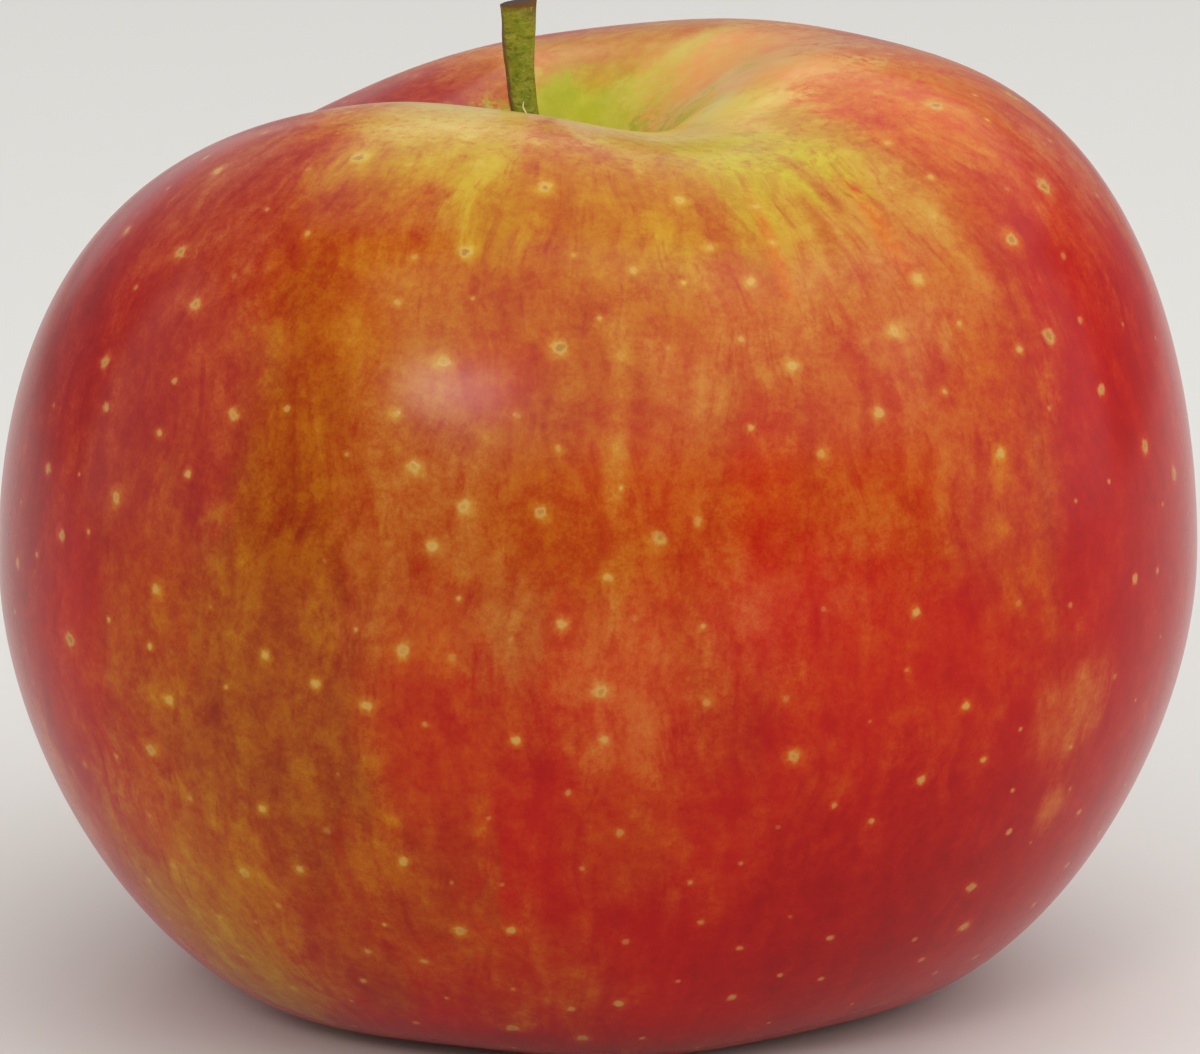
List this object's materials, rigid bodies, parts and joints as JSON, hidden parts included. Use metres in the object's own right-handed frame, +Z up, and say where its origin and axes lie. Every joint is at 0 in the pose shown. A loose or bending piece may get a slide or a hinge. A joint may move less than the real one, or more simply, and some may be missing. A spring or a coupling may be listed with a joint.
{
  "type": "red apple",
  "caption": "Whole ripe red apple standing upright, with its woody stem in a deep stem cavity and dried sepals in the eye basin underneath.",
  "frame": {"origin": "on the plane that the apple stands on, under the middle of the fruit's width and depth", "axes": "+Z up from the eye to the stem; the pictured side faces -Y; +X to the right seen from there"},
  "size_m": [0.0826, 0.0776, 0.0698],
  "materials": {
    "fruit_skin": "waxy apple skin, red over yellow-green, in streaks along the meridians with pale dots, satin gloss",
    "stem_bark": "olive green young bark with brown edges and a dark brown cut end, matt",
    "dried_sepal": "dry brown leaf tissue with a pale felt of hairs, matt",
    "dried_stamen": "dry dark brown threads, matt"
  },
  "bodies": {
    "root": {"fruit": "fruit_skin", "stem": "stem_bark", "calyx_sepals": "dried_sepal", "calyx_stamens": "dried_stamen"}
  },
  "joints": []
}
